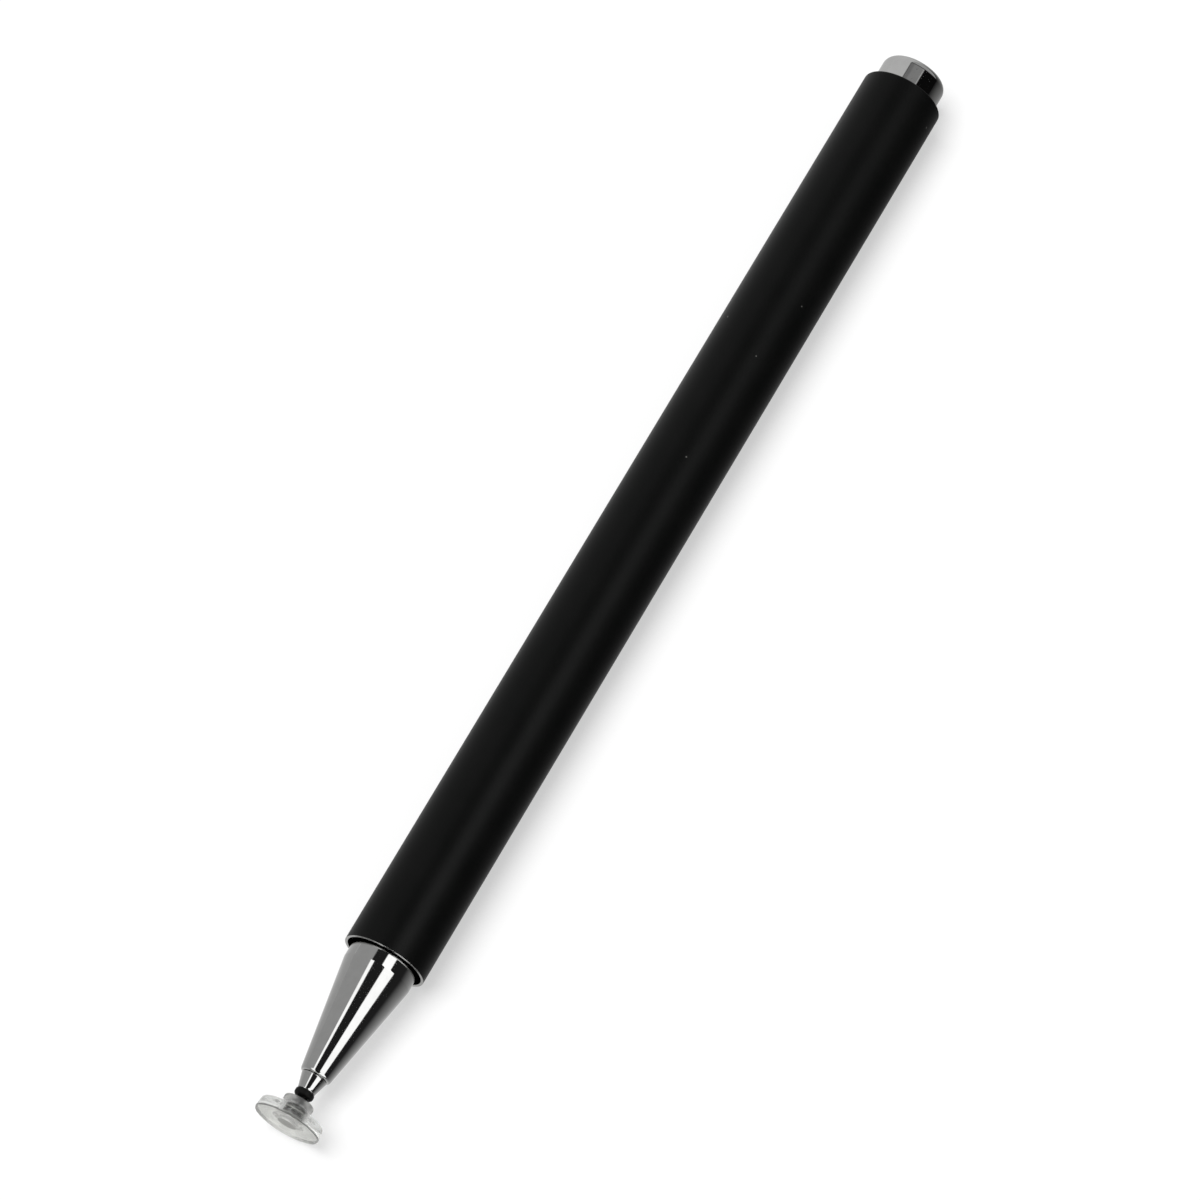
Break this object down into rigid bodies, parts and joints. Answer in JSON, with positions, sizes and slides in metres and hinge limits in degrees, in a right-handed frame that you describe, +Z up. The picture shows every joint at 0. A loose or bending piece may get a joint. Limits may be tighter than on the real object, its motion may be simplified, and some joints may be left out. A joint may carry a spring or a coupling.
{
  "type": "stylus pen",
  "caption": "Slim round touch-screen stylus with a black barrel, a chromed tapered nose that unscrews, a clear disc on a ball joint at the tip and a chromed end cap.",
  "frame": {"origin": "under the middle of the pen's length, on the surface that the barrel lies on", "axes": "+X along the pen from the tip to the cap, +Z up, the pen's axis 4.5 mm above the origin"},
  "size_m": [0.1352, 0.009, 0.009],
  "materials": {
    "black_anodised": "satin black anodised",
    "brass": "turned",
    "washer_rubber": "matte",
    "chrome": "mirror polished",
    "steel": "turned and blackened",
    "black_rubber": "satin moulded",
    "grey_nylon": "translucent moulded",
    "clear_plastic": "clear moulded",
    "clear_film": "clear film",
    "black_plastic": "moulded"
  },
  "bodies": {
    "barrel": {"barrel": "black_anodised", "front_bush": "brass", "rear_bush": "black_plastic", "end_cap": "chrome"},
    "washer": {"nose_washer": "washer_rubber"},
    "nose": {"nose_cone": "chrome", "tip_ferrule": "chrome", "ball_stem": "steel"},
    "bead": {"neck_collar": "black_rubber"},
    "socket": {"socket_plug": "grey_nylon"},
    "disc": {"disc": "clear_plastic", "contact_film": "clear_film"}
  },
  "joints": [
    {"name": "nose_travel", "type": "slide", "parent": "barrel", "child": "washer", "axis": [-1, 0, 0], "range_m": [0, 0.006]},
    {"name": "nose_turn", "type": "hinge", "parent": "washer", "child": "nose", "pos_m": [-0.04543, 0, 0.0045], "axis": [-1, 0, 0], "range_deg": [0, 2160]},
    {"name": "bead_turn", "type": "hinge", "parent": "nose", "child": "bead", "pos_m": [-0.06602, 0, 0.0045], "axis": [1, 0, 0], "continuous": true},
    {"name": "disc_tilt", "type": "hinge", "parent": "bead", "child": "socket", "pos_m": [-0.06602, 0, 0.0045], "axis": [0, 1, 0], "range_deg": [-20, 20]},
    {"name": "disc_spin", "type": "hinge", "parent": "socket", "child": "disc", "pos_m": [-0.06602, 0, 0.0045], "axis": [1, 0, 0], "continuous": true}
  ],
  "couplings": [
    {"joint": "nose_turn", "follows": "nose_travel", "rad_per_m": 6283.2}
  ]
}
